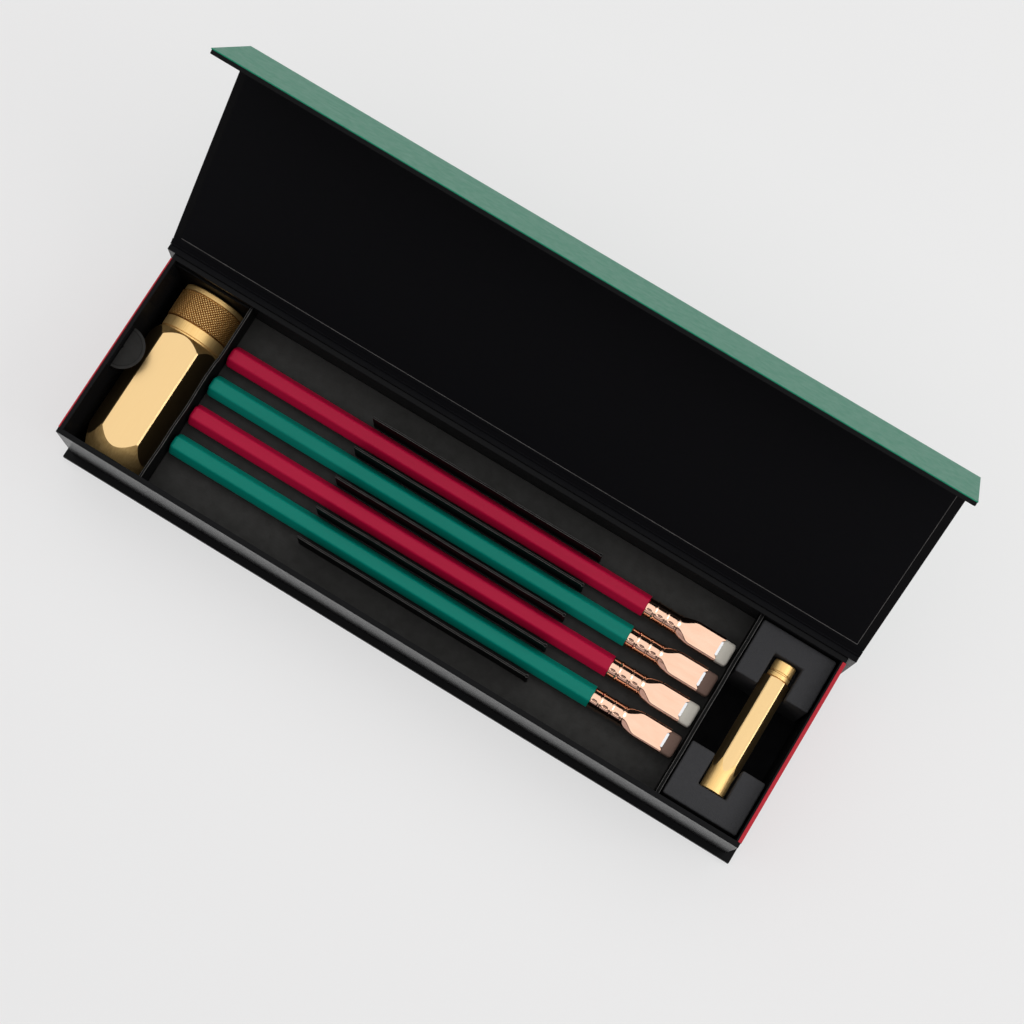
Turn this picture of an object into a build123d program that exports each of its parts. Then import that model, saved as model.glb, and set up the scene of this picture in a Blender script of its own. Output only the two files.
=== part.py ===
"""Pencil gift set: a book-style card box with a folding flap, holding four pencils with flat
ferrules, a brass sharpener and a brass point guard.

Millimetres. X runs along the pencils, Y from the front of the box to its hinge, Z up.
The origin is on the table, under the middle pencil gap and the middle of the box's length.
The box stands open, as it is shown: lid leaning back, flap folded forward over it.
"""
from build123d import *
import os
from math import cos, radians, sin, sqrt

os.makedirs("parts", exist_ok=True)

# Paper and card
paper = 0.2
cover_board = 1.6
spine_board_thickness = 2.2
insert_card = 1.0

# Base and tray
base_board_thickness = 2.0
base_overhang = 2.65
front_ledge = 2.5
tray_wall = 1.7
tray_floor_thickness = 1.8
row_to_tray_middle = 0.2
rim_height = 39.5
right_red_lip = 1.3
left_red_lip = 0.5

# Lid, flap and their paper folds
lid_open_angle = 137.4
lid_swing_height = 1.2
lid_joint_gap = 2.0
fold_bead = 0.3
flap_fold_angle = 74.1
flap_tray_gap = 0.75
flap_ledge_gap = 1.6
lining_inset = 3.0
cover_corner_radius = 1.2

# Magnet catch
magnet_diameter = 10.0
magnet_thickness = 1.0
magnet_side_inset = 48.2
magnet_end_gap = 9.0
plate_thickness = 0.6

# Pencils
pencil_count = 4
pencil_pitch = 12.2
pencil_row_shift = 0.5
barrel_length = 169.05
barrel_flats = 7.3
barrel_edge_radius = 0.6
core_diameter = 2.4
pencil_end_gap = 1.0

# Ferrule and eraser
ferrule_diameter = 7.4
ferrule_bore = 6.9
ring_diameter = 7.8
ring_width = 0.9
ring_starts = (3.0, 7.5, 11.8)
tenon_length = 11.0
tenon_clearance = 0.05
flare_start = 12.7
flare_length = 6.3
paddle_length = 9.8
paddle_width = 9.2
paddle_thickness = 5.6
paddle_corner_radius = 1.9
ferrule_wall = 0.3
clip_thickness = 0.25
clip_show = 0.4
eraser_width = 8.5
eraser_thickness = 4.4
eraser_depth = 9.0
eraser_show = 4.85
eraser_corner_radius = 1.2

# Pencil platform and its fins
platform_height = 25.0
platform_leg = 1.0
fin_count = 5
fin_length = 92.0
fin_thickness = 0.8
fin_height = 13.0

# Dividers and small card pieces
left_divider_thickness = 1.2
right_divider_thickness = 1.5
divider_drop = 3.5
bay_panel_thickness = 0.7
bay_panel_drop = 3.5
tab_radius = 7.9
tab_drop = 4.0
tab_middle = 0.6
tab_card = 0.3
tab_fold_gap = 0.05
tab_strip_height = 8.0

# Foam
foam_width = 28.6
foam_side_gap = 0.6
foam_depth = 20.4
foam_drop = 4.0
foam_end_gap = 0.4
foam_front_gap = 1.5
notch_side_gap = 0.25
notch_end_gap = 0.5
notch_depth = 10.3

# Sharpener, along Y from its front end
sharpener_flats = 25.5
sharpener_side_gap = 0.33
sharpener_front_gap = 1.1
sharpener_rear_gap = 0.5
sharpener_nose_length = 9.0
sharpener_nose_radius = 11.2
sharpener_hex_length = 37.7
sharpener_shoulder_length = 3.9
sharpener_shoulder_radius = 12.4
sharpener_neck_radius = 11.6
sharpener_neck_length = 0.7
chamber_radius = 10.5
chamber_floor = 3.0
cap_band_radius = 12.1
cap_band_length = 4.2
knurl_radius = 12.4
knurl_length = 10.5
cap_groove_depth = 0.5
cap_groove_width = 0.4
cap_end_length = 1.9
cap_chamfer = 0.4
spigot_length = 7.0
spigot_clearance = 0.1

# Sharpening insert, blade and screw
insert_radius = 8.0
insert_length = 35.0
insert_recess = 0.5
pencil_hole_diameter = 8.8
pencil_hole_depth = 11.5
cone_tip_diameter = 1.6
cone_length = 22.0
blade_length = 20.0
blade_width = 7.0
blade_thickness = 0.6
blade_offset = 3.0
blade_height = 3.0
blade_end_gap = 0.5
screw_offset = 4.5
screw_diameter = 2.0
screw_head_diameter = 3.6
screw_head_height = 0.8
screw_length = 3.0

# Point guard, along Y from its closed rear end
guard_flats = 9.0
guard_length = 50.8
guard_shift = 0.25
guard_plug_length = 6.5
guard_plug_radius = 4.0
guard_hex_length = 32.0
guard_taper_length = 4.4
guard_tube_radius = 4.5
guard_bore_radius = 4.05
guard_spigot_length = 4.0
guard_groove_start = 4.0
guard_groove_width = 0.4
guard_groove_depth = 0.3
guard_chamfer = 0.3


def corners(flats):
    """Width over the corners of a hexagon of this width over its flats."""
    return flats * 2 / sqrt(3)


def middle_out(count, pitch):
    """Positions of a row of equal steps about zero."""
    return [(index - (count - 1) / 2) * pitch for index in range(count)]


def write(piece, name):
    """Labels a finished piece and writes it as its own file."""
    piece.part.label = name
    export_step(piece.part, f"parts/{name}.step")


def slab(x, y, z):
    """A straight piece between two x, two y and two z values."""
    with BuildPart() as piece:
        with BuildSketch(Plane.XY.offset(z[0])):
            with Locations(((x[0] + x[1]) / 2, (y[0] + y[1]) / 2)):
                Rectangle(x[1] - x[0], y[1] - y[0])
        extrude(amount=z[1] - z[0])
    return piece


# Lengths that add up from their pieces
pencil_length = barrel_length + flare_start + flare_length + paddle_length + eraser_show
sharpener_body_length = (
    sharpener_nose_length + sharpener_hex_length + sharpener_shoulder_length + sharpener_neck_length
)
sharpener_cap_length = cap_band_length + knurl_length + cap_groove_width + cap_end_length
sharpener_length = sharpener_body_length + sharpener_cap_length
tray_depth_inside = (
    sharpener_front_gap + sharpener_length + sharpener_rear_gap + bay_panel_thickness
)

# Places along X, from the pencils outwards
bay_half = pencil_length / 2 + pencil_end_gap
sharpener_bay = corners(sharpener_flats) + 2 * sharpener_side_gap
foam_bay = foam_width + 2 * foam_side_gap
inside_left = -(bay_half + left_divider_thickness + sharpener_bay)
inside_right = bay_half + right_divider_thickness + foam_bay
wall_left = inside_left - tray_wall
wall_right = inside_right + tray_wall
tray_left = wall_left - paper
tray_right = wall_right + paper
case_left = tray_left - base_overhang
case_right = tray_right + base_overhang
case_middle = (case_left + case_right) / 2
case_half = (case_right - case_left) / 2

# Places along Y
inside_front = row_to_tray_middle - tray_depth_inside / 2
inside_rear = inside_front + tray_depth_inside
wall_front = inside_front - tray_wall
tray_front = wall_front - paper
tray_rear = inside_rear + tray_wall + paper
base_front = tray_front - front_ledge
spine_rear = tray_rear + spine_board_thickness
hinge_y = spine_rear + paper

# Heights
ledge_height = paper + base_board_thickness
floor_board_top = ledge_height + tray_floor_thickness
floor_height = floor_board_top + paper
hinge_z = rim_height + lid_swing_height
divider_height = rim_height - divider_drop
bay_panel_height = rim_height - bay_panel_drop
tab_height = rim_height - tab_drop
foam_height = rim_height - foam_drop
notch_floor = foam_height - notch_depth

# Lid and flap, in sketches whose first axis runs away from the hinge and whose second
# axis points out of the inner face
cover_thickness = cover_board + 2 * paper
flap_reach = hinge_y - tray_front + flap_tray_gap + cover_thickness
flap_width = hinge_z + cover_thickness - ledge_height - flap_ledge_gap
lid_direction = radians(180 - lid_open_angle)
flap_direction = lid_direction + radians(flap_fold_angle)
fold_y = hinge_y + flap_reach * cos(lid_direction) + cover_thickness * sin(lid_direction)
fold_z = hinge_z + flap_reach * sin(lid_direction) - cover_thickness * cos(lid_direction)
lid_plane = Plane(
    origin=(case_middle, hinge_y, hinge_z),
    x_dir=(0, cos(lid_direction), sin(lid_direction)),
    z_dir=(1, 0, 0),
)
flap_plane = Plane(
    origin=(case_middle, fold_y, fold_z),
    x_dir=(0, cos(flap_direction), sin(flap_direction)),
    z_dir=(1, 0, 0),
)


def cover_layer(plane, profile, half_length, rounding=0.0):
    """A layer of the lid or flap: a profile across it, drawn out along the box. Its corners
    furthest from the fold are rounded where a radius is given."""
    with BuildPart() as layer:
        with BuildSketch(plane):
            with BuildLine():
                Polyline(*profile, close=True)
            make_face()
        extrude(amount=half_length, both=True)
        if rounding:
            across = Axis(plane.origin, plane.y_dir)
            outward = Axis(plane.origin, plane.x_dir)
            fillet(layer.edges().filter_by(across).group_by(outward)[-1], rounding)
    return layer


# Lid: its far end is bevelled, so that it meets the flap at a right angle when shut
lid_bevel = flap_reach - fold_bead - cover_thickness


def lid_profile(start, low, high, end_inset=0.0):
    """Profile of a lid layer between two depths under the inner face."""
    return [
        (start, low),
        (lid_bevel - low - end_inset, low),
        (lid_bevel - high - end_inset, high),
        (start, high),
    ]


lid_board = cover_layer(lid_plane, lid_profile(lid_joint_gap, paper - cover_thickness, -paper), case_half)
write(lid_board, "lid_board")

lid_cover = cover_layer(
    lid_plane,
    lid_profile(lid_joint_gap, -cover_thickness, paper - cover_thickness),
    case_half,
)
write(lid_cover, "lid_cover_paper")

lid_lining = cover_layer(
    lid_plane,
    lid_profile(lid_joint_gap + lining_inset / 2, -paper, 0, lining_inset / 2),
    case_half - lining_inset,
)
write(lid_lining, "lid_lining")


# Flap: the outer face runs through the fold
def flap_profile(end, low, high, start_inset=0.0):
    """Profile of a flap layer between two depths under the outer face."""
    return [
        (fold_bead + low + start_inset, low),
        (end, low),
        (end, high),
        (fold_bead + high + start_inset, high),
    ]


flap_panel = cover_layer(
    flap_plane,
    flap_profile(flap_width, paper, cover_thickness - paper),
    case_half,
    cover_corner_radius,
)
magnet_row = flap_width - magnet_end_gap
magnet_pitch = 2 * (case_half - magnet_side_inset)
magnet_face = cover_thickness - paper
magnet_plane = Plane(
    origin=flap_plane.from_local_coords((magnet_row, magnet_face, 0)),
    x_dir=(1, 0, 0),
    z_dir=flap_plane.y_dir,
)
with BuildPart() as flap_board:
    add(flap_panel.part)
    with BuildSketch(magnet_plane):
        with GridLocations(magnet_pitch, 1, 2, 1):
            Circle(magnet_diameter / 2)
    extrude(amount=-magnet_thickness, mode=Mode.SUBTRACT)
write(flap_board, "flap_board")

with BuildPart() as flap_magnets:
    with BuildSketch(magnet_plane):
        with GridLocations(magnet_pitch, 1, 2, 1):
            Circle(magnet_diameter / 2)
    extrude(amount=-magnet_thickness)
write(flap_magnets, "flap_magnets")

flap_cover = cover_layer(
    flap_plane,
    flap_profile(flap_width, 0, paper),
    case_half,
    cover_corner_radius,
)
write(flap_cover, "flap_cover_paper")

flap_lining = cover_layer(
    flap_plane,
    flap_profile(flap_width - lining_inset, cover_thickness - paper, cover_thickness, lining_inset / 2),
    case_half - lining_inset,
)
write(flap_lining, "flap_lining")


# Paper folds: a bead of folded paper on each fold line, and the lid's joint strip beside it
with BuildPart() as lid_hinge_paper:
    with BuildSketch(lid_plane):
        Circle(fold_bead)
        with BuildLine():
            Polyline(
                (fold_bead / 2, -fold_bead),
                (lid_joint_gap, -fold_bead),
                (lid_joint_gap, 0),
                (fold_bead / 2, 0),
                close=True,
            )
        make_face()
    extrude(amount=case_half, both=True)
write(lid_hinge_paper, "lid_hinge_paper")

with BuildPart() as flap_hinge_paper:
    with BuildSketch(flap_plane):
        Circle(fold_bead)
    extrude(amount=case_half, both=True)
write(flap_hinge_paper, "flap_hinge_paper")


# Base and spine
case_x = (case_left, case_right)
write(slab(case_x, (base_front, spine_rear), (paper, ledge_height)), "base_board")
write(slab(case_x, (base_front, hinge_y), (0, paper)), "base_cover_paper")
spine_top = hinge_z - fold_bead
write(slab(case_x, (tray_rear, spine_rear), (ledge_height, spine_top)), "spine_board")
write(slab(case_x, (spine_rear, hinge_y), (paper, spine_top)), "spine_cover_paper")


# Tray: floor, four walls and the papers on its outside
write(
    slab((wall_left, wall_right), (wall_front, tray_rear), (ledge_height, floor_board_top)),
    "tray_floor",
)
write(
    slab((inside_left, inside_right), (inside_front, inside_rear), (floor_board_top, floor_height)),
    "tray_floor_paper",
)

wall_x = (wall_left, wall_right)
wall_z = (floor_board_top, rim_height)
front_panel = slab(wall_x, (wall_front, inside_front), wall_z)
plate_height = hinge_z + cover_thickness - magnet_row
plate_plane = Plane(origin=(case_middle, wall_front, plate_height), x_dir=(1, 0, 0), z_dir=(0, -1, 0))
with BuildPart() as front_wall:
    add(front_panel.part)
    with BuildSketch(plate_plane):
        with GridLocations(magnet_pitch, 1, 2, 1):
            Circle(magnet_diameter / 2)
    extrude(amount=-plate_thickness, mode=Mode.SUBTRACT)
write(front_wall, "tray_front_wall")

with BuildPart() as catch_plates:
    with BuildSketch(plate_plane):
        with GridLocations(magnet_pitch, 1, 2, 1):
            Circle(magnet_diameter / 2)
    extrude(amount=-plate_thickness)
write(catch_plates, "catch_plates")

write(slab(wall_x, (inside_rear, tray_rear), wall_z), "tray_rear_wall")


def end_wall(inner, outer, lip):
    """An end wall of the tray, rebated at the top for the lip of its paper."""
    side = 1 if outer > inner else -1
    with BuildPart() as wall:
        with BuildSketch(Plane.XZ.offset(-inside_rear)):
            with BuildLine():
                Polyline(
                    (inner, floor_board_top),
                    (outer, floor_board_top),
                    (outer, rim_height - paper),
                    (outer - side * (lip - paper), rim_height - paper),
                    (outer - side * (lip - paper), rim_height),
                    (inner, rim_height),
                    close=True,
                )
            make_face()
        extrude(amount=tray_depth_inside)
    return wall


def end_paper(outer, lip):
    """The coloured paper over an end of the tray, turned in over the rim."""
    side = 1 if outer > 0 else -1
    with BuildPart() as sheet:
        with BuildSketch(Plane.XZ.offset(-inside_rear)):
            with BuildLine():
                Polyline(
                    (outer, ledge_height),
                    (outer + side * paper, ledge_height),
                    (outer + side * paper, rim_height),
                    (outer + side * (paper - lip), rim_height),
                    (outer + side * (paper - lip), rim_height - paper),
                    (outer, rim_height - paper),
                    close=True,
                )
            make_face()
        extrude(amount=tray_depth_inside)
    return sheet


write(end_wall(inside_left, wall_left, left_red_lip), "tray_left_wall")
write(end_wall(inside_right, wall_right, right_red_lip), "tray_right_wall")
write(end_paper(wall_left, left_red_lip), "tray_left_paper")
write(end_paper(wall_right, right_red_lip), "tray_right_paper")
write(slab(wall_x, (tray_front, wall_front), (ledge_height, rim_height)), "tray_front_paper")


# Card insert: platform on two legs, dividers, fins between the pencils
platform_x = (-bay_half, bay_half)
with BuildPart() as platform:
    with BuildSketch(Plane.XZ.offset(-inside_rear)):
        with BuildLine():
            Polyline(
                (platform_x[0], floor_height),
                (platform_x[0] + platform_leg, floor_height),
                (platform_x[0] + platform_leg, platform_height - insert_card),
                (platform_x[1] - platform_leg, platform_height - insert_card),
                (platform_x[1] - platform_leg, floor_height),
                (platform_x[1], floor_height),
                (platform_x[1], platform_height),
                (platform_x[0], platform_height),
                close=True,
            )
        make_face()
    extrude(amount=tray_depth_inside)
write(platform, "pencil_platform")

left_divider_x = (-bay_half - left_divider_thickness, -bay_half)
right_divider_x = (bay_half, bay_half + right_divider_thickness)
inside_y = (inside_front, inside_rear)
write(slab(left_divider_x, inside_y, (floor_height, divider_height)), "left_divider")
write(slab(right_divider_x, inside_y, (floor_height, divider_height)), "right_divider")

with BuildPart() as fins:
    with BuildSketch(Plane.XY.offset(platform_height)):
        with GridLocations(1, pencil_pitch, 1, fin_count):
            Rectangle(fin_length, fin_thickness)
    extrude(amount=fin_height)
write(fins, "pencil_fins")

write(
    slab(
        (inside_left, left_divider_x[0]),
        (inside_rear - bay_panel_thickness, inside_rear),
        (floor_height, bay_panel_height),
    ),
    "left_bay_panel",
)

# Half-moon tab, folded out from a card strip on the left wall
tab_fold_x = inside_left + tab_card
write(
    slab(
        (inside_left, tab_fold_x),
        (tab_middle - tab_radius, tab_middle + tab_radius),
        (tab_height - tab_strip_height, tab_height - tab_card - tab_fold_gap),
    ),
    "tab_strip",
)
with BuildPart() as tab:
    with BuildSketch(Plane.XY.offset(tab_height - tab_card)):
        with BuildLine():
            arc_end = (tab_fold_x, tab_middle + tab_radius)
            CenterArc((tab_fold_x, tab_middle), tab_radius, -90, 180)
            Line(arc_end, (tab_fold_x, tab_middle - tab_radius))
        make_face()
    extrude(amount=tab_card)
write(tab, "half_moon_tab")


# Foam blocks, each with a notch that holds one end of the point guard
foam_left = right_divider_x[1] + foam_side_gap
foam_right = foam_left + foam_width
foam_middle = (foam_left + foam_right) / 2
notch_width = corners(guard_flats) + 2 * notch_side_gap
foam_rear_end = inside_rear - foam_end_gap
foam_rear_start = foam_rear_end - foam_depth
foam_front_end = inside_front + foam_front_gap
foam_front_start = foam_front_end + foam_depth
guard_middle_y = (foam_rear_start + foam_front_start) / 2 + guard_shift
guard_rear = guard_middle_y + guard_length / 2
guard_front = guard_middle_y - guard_length / 2


def foam_block(near, far, notch_end):
    """A foam block from the middle gap to the tray wall, notched at its top."""
    block = slab((foam_left, foam_right), (min(near, far), max(near, far)), (floor_height, foam_height))
    with BuildPart() as notched:
        add(block.part)
        with BuildSketch(Plane.XY.offset(notch_floor)):
            with Locations((foam_middle, (near + notch_end) / 2)):
                Rectangle(notch_width, abs(near - notch_end))
        extrude(amount=foam_height - notch_floor, mode=Mode.SUBTRACT)
    return notched


write(foam_block(foam_rear_start, foam_rear_end, guard_rear + notch_end_gap), "foam_rear")
write(foam_block(foam_front_start, foam_front_end, guard_front - notch_end_gap), "foam_front")


# Pencils: hexagonal wood barrel with a turned tenon, core, flat ferrule, clip and eraser
pencil_z = platform_height + ring_diameter / 2
pencil_left = -pencil_length / 2
barrel_end = pencil_left + barrel_length
paddle_start = barrel_end + flare_start + flare_length
ferrule_end = paddle_start + paddle_length


def paddle_section(y, x, inset=0.0):
    """Rounded section of the flat end of a ferrule, or of the pocket in it."""
    with BuildSketch(across(y, x)) as section:
        RectangleRounded(
            paddle_width - 2 * inset,
            paddle_thickness - 2 * inset,
            paddle_corner_radius - inset,
        )
    return section.sketch


def across(y, x):
    """A sketch plane square to a pencil: its first axis is Y and its second Z."""
    return Plane(origin=(x, y, pencil_z), x_dir=(0, 1, 0), z_dir=(1, 0, 0))


def barrel(y):
    """Wood barrel, drilled for its core."""
    with BuildPart() as wood:
        with BuildSketch(across(y, pencil_left)):
            RegularPolygon(barrel_flats / 2, 6, major_radius=False)
        extrude(amount=barrel_length)
        fillet(wood.edges().filter_by(Axis.X), barrel_edge_radius)
        with BuildSketch(across(y, barrel_end)):
            Circle(ferrule_bore / 2 - tenon_clearance)
        extrude(amount=tenon_length)
        with BuildSketch(across(y, pencil_left)):
            Circle(core_diameter / 2)
        extrude(amount=barrel_length + tenon_length, mode=Mode.SUBTRACT)
    return wood


def core(y):
    """Graphite core, the whole length of the wood."""
    with BuildPart() as graphite:
        with BuildSketch(across(y, pencil_left)):
            Circle(core_diameter / 2)
        extrude(amount=barrel_length + tenon_length)
    return graphite


def ferrule(y):
    """Metal ferrule: round on the barrel, flattened to a paddle round the eraser."""
    with BuildPart() as shell:
        with BuildSketch(across(y, barrel_end)):
            Circle(ferrule_diameter / 2)
        extrude(amount=flare_start)
        for start in ring_starts:
            with BuildSketch(across(y, barrel_end + start)):
                Circle(ring_diameter / 2)
            extrude(amount=ring_width)
        with BuildSketch(across(y, barrel_end + flare_start)):
            Circle(ferrule_diameter / 2)
        add(paddle_section(y, paddle_start))
        loft()
        extrude(paddle_section(y, paddle_start), amount=paddle_length)
        with BuildSketch(across(y, barrel_end)):
            Circle(ferrule_bore / 2)
        extrude(amount=tenon_length, mode=Mode.SUBTRACT)
        extrude(
            paddle_section(y, paddle_start, ferrule_wall),
            amount=paddle_length,
            mode=Mode.SUBTRACT,
        )
    return shell


def eraser_clip(y):
    """Thin metal clip round the eraser, closed at its inner end."""
    with BuildPart() as clip:
        with BuildSketch(across(y, paddle_start)):
            RectangleRounded(
                eraser_width - 2 * eraser_corner_radius,
                eraser_thickness + 2 * clip_thickness,
                clip_thickness,
            )
        extrude(amount=paddle_length + clip_show)
        with BuildSketch(across(y, ferrule_end - eraser_depth)):
            Rectangle(eraser_width, eraser_thickness)
        extrude(amount=eraser_depth + clip_show, mode=Mode.SUBTRACT)
    return clip


def eraser(y):
    """Flat rubber eraser, rounded at its corners."""
    with BuildPart() as rubber:
        with BuildSketch(across(y, ferrule_end - eraser_depth)):
            RectangleRounded(eraser_width, eraser_thickness, eraser_corner_radius)
        extrude(amount=-pencil_left - ferrule_end + eraser_depth)
        fillet(rubber.faces().sort_by(Axis.X)[-1].edges(), eraser_corner_radius / 2)
    return rubber


# Pencil 1 lies nearest the hinge
for index, step in enumerate(reversed(middle_out(pencil_count, pencil_pitch)), start=1):
    y = step + pencil_row_shift
    write(barrel(y), f"pencil_{index}_barrel")
    write(core(y), f"pencil_{index}_core")
    write(ferrule(y), f"pencil_{index}_ferrule")
    write(eraser_clip(y), f"pencil_{index}_eraser_clip")
    write(eraser(y), f"pencil_{index}_eraser")


# Sharpener: a hexagonal brass body turned at both ends, and a knurled cap with the insert
sharpener_x = inside_left + sharpener_bay / 2
sharpener_z = floor_height + sharpener_flats / 2
sharpener_front = inside_front + sharpener_front_gap
hex_start = sharpener_front + sharpener_nose_length
hex_end = hex_start + sharpener_hex_length
shoulder_end = hex_end + sharpener_shoulder_length
cap_start = shoulder_end + sharpener_neck_length
knurl_start = cap_start + cap_band_length
groove_start = knurl_start + knurl_length
cap_end_start = groove_start + cap_groove_width
cap_end = cap_end_start + cap_end_length


def turned(x, z, profile):
    """A body turned about a line along Y: the profile gives radius and y."""
    lathe = Plane(origin=(x, 0, z), x_dir=(1, 0, 0), z_dir=(0, 0, 1))
    with BuildPart() as body:
        with BuildSketch(lathe):
            with BuildLine():
                Polyline(*profile, close=True)
            make_face()
        revolve(axis=Axis((x, 0, z), (0, 1, 0)))
    return body


def upright(x, z, y):
    """A sketch plane square to Y whose second axis is Z."""
    return Plane(origin=(x, y, z), x_dir=(1, 0, 0), z_dir=(0, -1, 0))


sharpener_blank = turned(
    sharpener_x,
    sharpener_z,
    [
        (0, sharpener_front),
        (sharpener_nose_radius, sharpener_front),
        (corners(sharpener_flats) / 2, hex_start),
        (corners(sharpener_flats) / 2, hex_end),
        (sharpener_shoulder_radius, shoulder_end),
        (sharpener_neck_radius, shoulder_end),
        (sharpener_neck_radius, cap_start),
        (0, cap_start),
    ],
)
with BuildPart() as sharpener_body:
    add(sharpener_blank.part)
    with BuildSketch(upright(sharpener_x, sharpener_z, cap_start)):
        RegularPolygon(sharpener_flats / 2, 6, major_radius=False)
    extrude(amount=cap_start - sharpener_front, mode=Mode.INTERSECT)
    with BuildSketch(upright(sharpener_x, sharpener_z, cap_start)):
        Circle(chamber_radius)
    extrude(amount=cap_start - sharpener_front - chamber_floor, mode=Mode.SUBTRACT)
write(sharpener_body, "sharpener_body")

sharpener_cap = turned(
    sharpener_x,
    sharpener_z,
    [
        (insert_radius, cap_start - spigot_length),
        (chamber_radius - spigot_clearance, cap_start - spigot_length),
        (chamber_radius - spigot_clearance, cap_start),
        (cap_band_radius, cap_start),
        (cap_band_radius, knurl_start),
        (knurl_radius, knurl_start),
        (knurl_radius, groove_start),
        (cap_band_radius - cap_groove_depth, groove_start),
        (cap_band_radius - cap_groove_depth, cap_end_start),
        (cap_band_radius, cap_end_start),
        (cap_band_radius, cap_end - cap_chamfer),
        (cap_band_radius - cap_chamfer, cap_end),
        (insert_radius, cap_end),
    ],
)
write(sharpener_cap, "sharpener_cap")

# The insert narrows from the pencil hole to the tip of the cut point
insert_end = cap_end - insert_recess
insert_start = insert_end - insert_length
cone_start = insert_end - pencil_hole_depth
cone_end = cone_start - cone_length
insert_blank = turned(
    sharpener_x,
    sharpener_z,
    [
        (cone_tip_diameter / 2, insert_start),
        (insert_radius, insert_start),
        (insert_radius, insert_end),
        (pencil_hole_diameter / 2, insert_end),
        (pencil_hole_diameter / 2, cone_start),
        (cone_tip_diameter / 2, cone_end),
    ],
)
blade_seat_end = insert_start + blade_length + blade_end_gap
blade_plane = Plane.XY.offset(sharpener_z + blade_height)
blade_middle = (sharpener_x + blade_offset, insert_start + blade_length / 2)
screw_place = (sharpener_x + screw_offset, blade_middle[1])
with BuildPart() as sharpener_insert:
    add(insert_blank.part)
    with BuildSketch(blade_plane):
        with Locations((sharpener_x, (insert_start + blade_seat_end) / 2)):
            Rectangle(2 * insert_radius, blade_seat_end - insert_start)
    extrude(amount=insert_radius, mode=Mode.SUBTRACT)
    with BuildSketch(blade_plane):
        with Locations(screw_place):
            Circle(screw_diameter / 2)
    extrude(amount=-screw_length, mode=Mode.SUBTRACT)
write(sharpener_insert, "sharpener_insert")

with BuildPart() as sharpener_blade:
    with BuildSketch(blade_plane):
        with Locations(blade_middle):
            Rectangle(blade_width, blade_length)
        with Locations(screw_place):
            Circle(screw_diameter / 2, mode=Mode.SUBTRACT)
    extrude(amount=blade_thickness)
write(sharpener_blade, "sharpener_blade")

with BuildPart() as blade_screw:
    with BuildSketch(blade_plane.offset(-screw_length)):
        with Locations(screw_place):
            Circle(screw_diameter / 2)
    extrude(amount=screw_length + blade_thickness)
    with BuildSketch(blade_plane.offset(blade_thickness)):
        with Locations(screw_place):
            Circle(screw_head_diameter / 2)
    extrude(amount=screw_head_height)
write(blade_screw, "sharpener_blade_screw")


# Point guard: a hexagonal brass cap turned round at its mouth, with a plug in its rear end
guard_z = notch_floor + guard_flats / 2
plug_start = guard_rear - guard_plug_length
taper_start = plug_start - guard_hex_length
tube_start = taper_start - guard_taper_length
guard_blank = turned(
    foam_middle,
    guard_z,
    [
        (guard_bore_radius, plug_start),
        (guard_flats / 2, plug_start),
        (corners(guard_flats) / 2, plug_start - guard_chamfer),
        (corners(guard_flats) / 2, taper_start),
        (guard_tube_radius, tube_start),
        (guard_tube_radius, guard_front),
        (guard_bore_radius, guard_front),
    ],
)
with BuildPart() as guard_barrel:
    add(guard_blank.part)
    with BuildSketch(upright(foam_middle, guard_z, plug_start)):
        RegularPolygon(guard_flats / 2, 6, major_radius=False)
    extrude(amount=plug_start - guard_front, mode=Mode.INTERSECT)
write(guard_barrel, "guard_barrel")

guard_groove = guard_rear - guard_groove_start
guard_plug = turned(
    foam_middle,
    guard_z,
    [
        (0, plug_start - guard_spigot_length),
        (guard_bore_radius, plug_start - guard_spigot_length),
        (guard_bore_radius, plug_start),
        (guard_plug_radius, plug_start),
        (guard_plug_radius, guard_groove - guard_groove_width),
        (guard_plug_radius - guard_groove_depth, guard_groove - guard_groove_width),
        (guard_plug_radius - guard_groove_depth, guard_groove),
        (guard_plug_radius, guard_groove),
        (guard_plug_radius, guard_rear - guard_chamfer),
        (guard_plug_radius - guard_chamfer, guard_rear),
        (0, guard_rear),
    ],
)
write(guard_plug, "guard_end_plug")
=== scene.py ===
from math import acos, cos, floor, pi, radians, sin, sqrt

import bmesh
import bpy
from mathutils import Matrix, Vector, noise


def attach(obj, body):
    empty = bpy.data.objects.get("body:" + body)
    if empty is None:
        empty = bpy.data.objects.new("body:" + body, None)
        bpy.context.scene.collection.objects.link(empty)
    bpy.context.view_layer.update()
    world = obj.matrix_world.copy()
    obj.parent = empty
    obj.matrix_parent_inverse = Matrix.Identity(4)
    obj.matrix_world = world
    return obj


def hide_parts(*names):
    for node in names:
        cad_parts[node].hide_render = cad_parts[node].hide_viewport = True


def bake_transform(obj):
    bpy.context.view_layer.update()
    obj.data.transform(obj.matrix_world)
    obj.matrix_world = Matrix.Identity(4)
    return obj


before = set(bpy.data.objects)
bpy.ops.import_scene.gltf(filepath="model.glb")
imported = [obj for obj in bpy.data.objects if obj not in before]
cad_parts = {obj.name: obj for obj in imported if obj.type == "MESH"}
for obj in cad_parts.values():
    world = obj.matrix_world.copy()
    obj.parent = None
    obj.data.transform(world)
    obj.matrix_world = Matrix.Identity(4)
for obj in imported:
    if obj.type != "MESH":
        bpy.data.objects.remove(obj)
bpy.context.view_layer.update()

scene = bpy.context.scene
mm = 0.001


# Colours, nodes and surfaces

def ink(code):
    """An sRGB hex colour as the linear colour that the shaders take."""
    def linear(value):
        return value / 12.92 if value <= 0.04045 else ((value + 0.055) / 1.055) ** 2.4
    return tuple(linear(int(code[i:i + 2], 16) / 255) for i in (1, 3, 5)) + (1.0,)


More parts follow.
